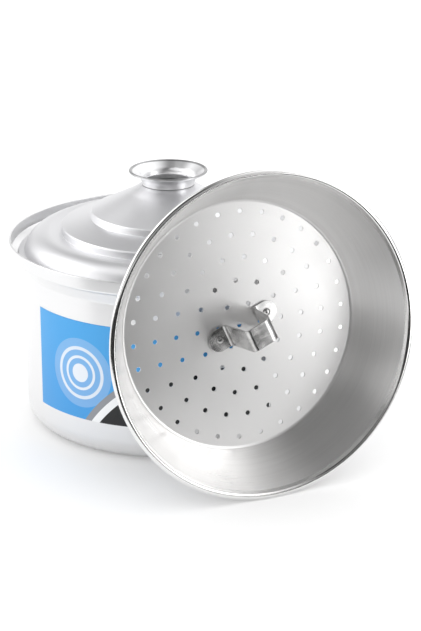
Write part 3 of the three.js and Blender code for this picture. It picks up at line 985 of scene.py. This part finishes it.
class BuildFrontLabel(bpy.types.Operator):
    """Models the printed label that is bent round the front of the pot"""

    bl_idname = "mandi_pot.front_label"
    bl_label = "Front label"

    def execute(self, context):
        settings = context.scene.mandi_pot
        label = settings.label
        radius = settings.pot.radius + label.gap
        spread = label.width / radius
        start = label.turn - math.pi / 2.0 - spread / 2.0
        mesh = bmesh.new()
        foot = bmesh.ops.create_vert(mesh, co=(radius, 0.0, label_low.z))["vert"][0]
        run_to(mesh, foot, Vector((radius, 0.0, label_high.z)))
        turn = Matrix.Rotation(start, 3, "Z")
        bmesh.ops.rotate(mesh, verts=mesh.verts[:], cent=(0.0, 0.0, 0.0), matrix=turn)
        drawn = mesh.verts[:] + mesh.edges[:]
        bmesh.ops.spin(mesh, geom=drawn, cent=(0.0, 0.0, 0.0), axis=UP, angle=spread, steps=LABEL_STEPS)
        weld(mesh)
        front = Vector((0.0, -radius, (label_low.z + label_high.z) / 2.0))
        face_towards(mesh, front, Vector((0.0, 1.0, 0.0)))
        give_thickness(mesh, -label.sheet)
        bmesh.ops.recalc_face_normals(mesh, faces=mesh.faces[:])
        self.wrap_sheet(mesh, start, spread)
        material = label_print("label_gloss", label)
        finish_piece(mesh, "label_sheet", material, "pot", "front_label")
        return {"FINISHED"}

    def wrap_sheet(self, mesh, start, spread):
        """Adds a UV map from the label's lower left corner to its upper right one."""
        uv = mesh.loops.layers.uv.new(SHEET_MAP)
        height = label_high.z - label_low.z
        for face in mesh.faces:
            for loop in face.loops:
                spot = loop.vert.co
                across = (math.atan2(spot.y, spot.x) - start + math.pi) % FULL_TURN - math.pi
                loop[uv].uv = (across / spread, (spot.z - label_low.z) / height)


class BuildLidShell(bpy.types.Operator):
    """Models the lid: brim, crowned ring, two risers, cone and the neck that carries the chimney"""

    bl_idname = "mandi_pot.lid_shell"
    bl_label = "Lid shell"

    def execute(self, context):
        lid = context.scene.mandi_pot.lid
        brim_top = lid.seat + lid.sheet
        dome_foot = lid.radius - lid.brim
        outer_foot = dome_foot - lid.outer_ring
        outer_low = brim_top + lid.outer_rise
        outer_top = outer_foot - lid.outer_draft
        outer_high = outer_low + lid.outer_riser
        inner_foot = outer_top - lid.inner_ring
        inner_low = outer_high + lid.inner_rise
        inner_top = inner_foot - lid.inner_draft
        inner_high = inner_low + lid.inner_riser
        neck_foot = inner_high + lid.cone_rise
        shoulder = lid.neck + lid.neck_shoulder
        mesh = bmesh.new()
        corners = (
            (lid.neck, lid.top, 0.0),
            (lid.neck, neck_foot, 0.0),
            (shoulder, neck_foot, 0.0),
            (shoulder + lid.cone_neck_width, neck_foot - lid.cone_neck_rise, lid.cone_bend),
            (inner_top, inner_high, lid.riser_bend),
            (inner_foot, inner_low, lid.riser_bend),
            (outer_top, outer_high, lid.riser_bend),
            (outer_foot, outer_low, lid.riser_bend),
            (dome_foot - lid.shoulder_inset, brim_top + lid.shoulder_rise, lid.shoulder_bend),
            (dome_foot, brim_top, lid.brim_bend),
            (lid.radius, brim_top, 0.0),
        )
        bent_profile(mesh, corners, lid.sheet)
        spin_sheet(mesh, lid.sheet, lid.edge, Vector((lid.radius, 0.0, brim_top)), UP)
        material = spun_aluminium("lid_satin", lid, Matrix.Identity(4))
        finish_piece(mesh, "lid_shell", material, "lid", "lid_dome")
        return {"FINISHED"}


class BuildChimneyShell(bpy.types.Operator):
    """Models the flared chimney with its rolled rim"""

    bl_idname = "mandi_pot.chimney_shell"
    bl_label = "Chimney shell"

    def execute(self, context):
        chimney = context.scene.mandi_pot.chimney
        mesh = bmesh.new()
        bead = chimney.bead
        bend_foot = Vector((chimney.sleeve, 0.0, chimney.foot + chimney.collar))
        centre = Vector((chimney.rim_radius - bead, 0.0, chimney.top - bead))
        meeting = meet_roll(bend_foot, centre, bead)
        corners = (
            (chimney.sleeve, chimney.foot, 0.0),
            (bend_foot.x, bend_foot.z, chimney.bend),
            (meeting.x, meeting.z, 0.0),
        )
        tip = bent_profile(mesh, corners, chimney.sheet)
        roll_edge(mesh, tip, centre, bead, chimney.sheet, chimney.roll_gap)
        inside = Vector((chimney.sleeve, 0.0, chimney.foot))
        spin_sheet(mesh, chimney.sheet, chimney.edge, inside, Vector((-1.0, 0.0, 0.0)))
        material = spun_aluminium("chimney_polish", chimney, Matrix.Identity(4))
        # Paints shade in lines at the chimney's foot and on its rim
        paint_shade_lines(material, chimney)
        finish_piece(mesh, "chimney_shell", material, "lid", "lid_chimney")
        return {"FINISHED"}


class BuildStrainerShell(bpy.types.Operator):
    """Models the perforated strainer with its flared wall and rolled rim"""

    bl_idname = "mandi_pot.strainer_shell"
    bl_label = "Strainer shell"

    def execute(self, context):
        settings = context.scene.mandi_pot
        strainer = settings.strainer
        bead = strainer.bead
        bottom = strainer.rim_radius - bead - strainer.flare
        corner_foot = Vector((bottom, 0.0, 0.0))
        centre = Vector((strainer.rim_radius - bead, 0.0, strainer.depth))
        meeting = meet_roll(corner_foot, centre, bead)
        turn = turn_between(Vector((1.0, 0.0, 0.0)), meeting - corner_foot)
        flat = bottom - strainer.bend * math.tan(turn / 2.0)
        mesh = bmesh.new()
        corners = (
            (flat - strainer.sheet, 0.0, 0.0),
            (bottom, 0.0, strainer.bend),
            (meeting.x, meeting.z, 0.0),
        )
        tip = bent_profile(mesh, corners, strainer.sheet)
        roll_edge(mesh, tip, centre, bead, strainer.sheet, strainer.roll_gap)
        measure_run(mesh, flat - strainer.sheet)
        turn_round(mesh, SPIN_STEPS)
        strap = settings.strap
        holes = [(spot, strainer.hole / 2.0) for spot in self.hole_places(strainer, flat)]
        holes += [(spot, rivet_hole(strap)) for spot in rivet_places(strap)]
        self.fill_bottom(mesh, holes, flat - strainer.sheet)
        face_towards(mesh, Vector((flat, 0.0, 0.0)), UP)
        give_thickness(mesh, strainer.sheet)
        sharp = rim_edges(mesh)
        in_bottom = [edge for edge in sharp if edge.verts[0].co.xy.length < flat]
        at_rim = [edge for edge in sharp if edge.verts[0].co.xy.length > bottom]
        round_edges(mesh, in_bottom, strainer.hole_edge)
        round_edges(mesh, [edge for edge in at_rim if edge.is_valid], strainer.edge)
        wrap_round(mesh)
        pose = strainer_pose(strainer)
        bmesh.ops.transform(mesh, matrix=pose, verts=mesh.verts[:])
        material = spun_aluminium("strainer_brushed", strainer, pose, dull_bottom=True)
        finish_piece(mesh, "strainer_shell", material, "strainer", "strainer_pan")
        return {"FINISHED"}

    def hole_places(self, strainer, flat):
        """The middles of the holes, ring by ring."""
        places = [Vector((0.0, 0.0, 0.0))]
        rings = int((flat - strainer.hole) / strainer.pitch)
        for ring in range(1, rings + 1):
            count = RING_STEP * ring
            for number in range(count):
                heading = strainer.hole_turn + FULL_TURN * number / count
                reach = ring * strainer.pitch
                places.append(Vector((reach * math.cos(heading), reach * math.sin(heading), 0.0)))
        return places

    def fill_bottom(self, mesh, holes, inner):
        """Fills the bottom inside the wall's innermost ring, round the holes."""
        open_edges = [edge for edge in mesh.edges if edge.is_boundary]
        edges = [edge for edge in open_edges if edge.verts[0].co.xy.length < inner + WELD]
        for spot, radius in holes:
            edges += draw_circle(mesh, spot, radius)
        bmesh.ops.triangle_fill(mesh, use_beauty=True, use_dissolve=False, edges=edges, normal=UP)
        bmesh.ops.recalc_face_normals(mesh, faces=mesh.faces[:])
        run = mesh.verts.layers.float[RUN_LAYER]
        for vert in mesh.verts:
            if vert.co.xy.length < inner:
                vert[run] = vert.co.xy.length


class BuildStrapHandle(bpy.types.Operator):
    """Models the strap handle: a strip bent up, over and down again, with round riveted feet"""

    bl_idname = "mandi_pot.strap_handle"
    bl_label = "Strap handle"

    def execute(self, context):
        settings = context.scene.mandi_pot
        strap = settings.strap
        under = strap.height - strap.gap - strap.sheet
        mesh = bmesh.new()
        for side, bend in ((1.0, strap.wide_bend), (-1.0, strap.bend)):
            half = self.draw_half(strap, under, bend)
            half.transform(Matrix.Diagonal((side, 1.0, 1.0, 1.0)))
            mesh.from_mesh(half)
            bpy.data.meshes.remove(half)
        weld(mesh)
        face_towards(mesh, Vector((0.0, 0.0, under)), -UP)
        give_thickness(mesh, strap.sheet)
        round_edges(mesh, rim_edges(mesh), strap.edge)
        pose = strap_pose(settings.strainer, strap)
        bmesh.ops.transform(mesh, matrix=pose, verts=mesh.verts[:])
        material = polished_aluminium("strap_polish", strap, pose)
        finish_piece(mesh, "strap_handle", material, "strainer", "strainer_handle")
        return {"FINISHED"}

    def draw_half(self, strap, under, top_bend):
        """The strip from its foot to the middle of its top, as a mesh on the right side."""
        half = strap.width / 2.0
        foot = Vector((strap.base / 2.0, 0.0, 0.0))
        leg = Vector((strap.top / 2.0, 0.0, under)) - foot
        turn = turn_between(Vector((-1.0, 0.0, 0.0)), leg)
        flat = foot.x + (strap.bend + strap.sheet) * math.tan(abs(turn) / 2.0)
        mesh = bmesh.new()
        corners = (
            (flat + strap.edge, 0.0, 0.0),
            (foot.x, 0.0, strap.bend),
            (strap.top / 2.0, under, top_bend),
            (0.0, under, 0.0),
        )
        bent_profile(mesh, corners, strap.sheet)
        bmesh.ops.translate(mesh, verts=mesh.verts[:], vec=(0.0, -half, 0.0))
        swept = bmesh.ops.extrude_edge_only(mesh, edges=mesh.edges[:])["geom"]
        moved = [item for item in swept if isinstance(item, bmesh.types.BMVert)]
        bmesh.ops.translate(mesh, verts=moved, vec=(0.0, strap.width, 0.0))
        self.add_foot(mesh, strap, flat + strap.edge, half)
        data = bpy.data.meshes.new("strap_half")
        mesh.to_mesh(data)
        mesh.free()
        return data

    def add_foot(self, mesh, strap, start, half):
        """Adds a flat foot with a round end and a rivet hole to the edge where the strip starts."""
        reach = rivet_reach(strap)
        corner = next(vert for vert in mesh.verts if vert.co.y > 0.0 and abs(vert.co.x - start) < WELD)
        side = run_to(mesh, corner, Vector((reach, half, 0.0)))
        far_side = swing(mesh, side, Vector((reach, 0.0, 0.0)), -math.pi, UP)
        run_to(mesh, far_side, Vector((start, -half, 0.0)))
        draw_circle(mesh, Vector((reach, 0.0, 0.0)), rivet_hole(strap))
        bmesh.ops.remove_doubles(mesh, verts=mesh.verts[:], dist=WELD)
        edges = [edge for edge in mesh.edges if all(vert.co.x > start - WELD for vert in edge.verts)]
        bmesh.ops.triangle_fill(mesh, use_beauty=True, use_dissolve=False, edges=edges, normal=UP)


class BuildRivets(bpy.types.Operator):
    """Models the two rivets that hold the strap handle"""

    bl_idname = "mandi_pot.rivets"
    bl_label = "Rivets"

    def execute(self, context):
        settings = context.scene.mandi_pot
        strap = settings.strap
        pose = strainer_pose(settings.strainer)
        material = polished_aluminium("rivet_polish", strap, pose)
        for side, spot in zip(("left", "right"), rivet_places(strap)):
            mesh = bmesh.new()
            self.draw_rivet(mesh, strap, settings.strainer.sheet)
            turn_round(mesh, RIVET_STEPS)
            round_edges(mesh, rim_edges(mesh), strap.rivet_edge)
            bmesh.ops.transform(mesh, matrix=pose @ Matrix.Translation(spot), verts=mesh.verts[:])
            name = f"strap_rivet_{side}"
            finish_piece(mesh, name, material, "strainer", f"rivet_{side}")
        return {"FINISHED"}

    def draw_rivet(self, mesh, strap, bottom_sheet):
        """Draws a round tail behind the bottom, a shank through it and the strap, and a domed head."""
        tail = strap.rivet_tail / 2.0
        shank = strap.rivet / 2.0
        head = strap.rivet_head / 2.0
        tail_high = -bottom_sheet - strap.gap
        tail_low = tail_high - strap.rivet_tail_rise
        head_low = strap.sheet + 2.0 * strap.gap
        corners = (
            (0.0, tail_low, 0.0),
            (tail, tail_low, 0.0),
            (tail, tail_high, 0.0),
            (shank, tail_high, 0.0),
            (shank, head_low, 0.0),
            (head, head_low, 0.0),
        )
        tip = bent_profile(mesh, corners, 0.0)
        dome = (head**2 + strap.rivet_rise**2) / (2.0 * strap.rivet_rise)
        centre = Vector((0.0, 0.0, head_low + strap.rivet_rise - dome))
        swing(mesh, tip, centre, math.asin(head / dome))


class MandiPotPanel(bpy.types.Panel):
    """Lists the pieces of the mandi pot"""

    bl_idname = "VIEW3D_PT_mandi_pot"
    bl_label = "Mandi pot"
    bl_space_type = "VIEW_3D"
    bl_region_type = "UI"
    bl_category = "Mandi pot"

    def draw(self, context):
        for operator in OPERATORS:
            self.layout.operator(operator.bl_idname)


OPERATORS = (
    BuildStage,
    BuildPotShell,
    BuildFrontLabel,
    BuildLidShell,
    BuildChimneyShell,
    BuildStrainerShell,
    BuildStrapHandle,
    BuildRivets,
)

CLASSES = (
    PotSizes,
    LabelSizes,
    LidSizes,
    ChimneySizes,
    StrainerSizes,
    StrapSizes,
    StageLook,
    MandiPotSettings,
    *OPERATORS,
    MandiPotPanel,
)


def register():
    for item in CLASSES:
        bpy.utils.register_class(item)
    bpy.types.Scene.mandi_pot = PointerProperty(type=MandiPotSettings)


def unregister():
    del bpy.types.Scene.mandi_pot
    for item in reversed(CLASSES):
        bpy.utils.unregister_class(item)


def main():
    """Builds the stage and every piece."""
    register()
    bpy.ops.mandi_pot.stage()
    bpy.ops.mandi_pot.pot_shell()
    bpy.ops.mandi_pot.front_label()
    bpy.ops.mandi_pot.lid_shell()
    bpy.ops.mandi_pot.chimney_shell()
    bpy.ops.mandi_pot.strainer_shell()
    bpy.ops.mandi_pot.strap_handle()
    bpy.ops.mandi_pot.rivets()


if __name__ == "__main__":
    main()
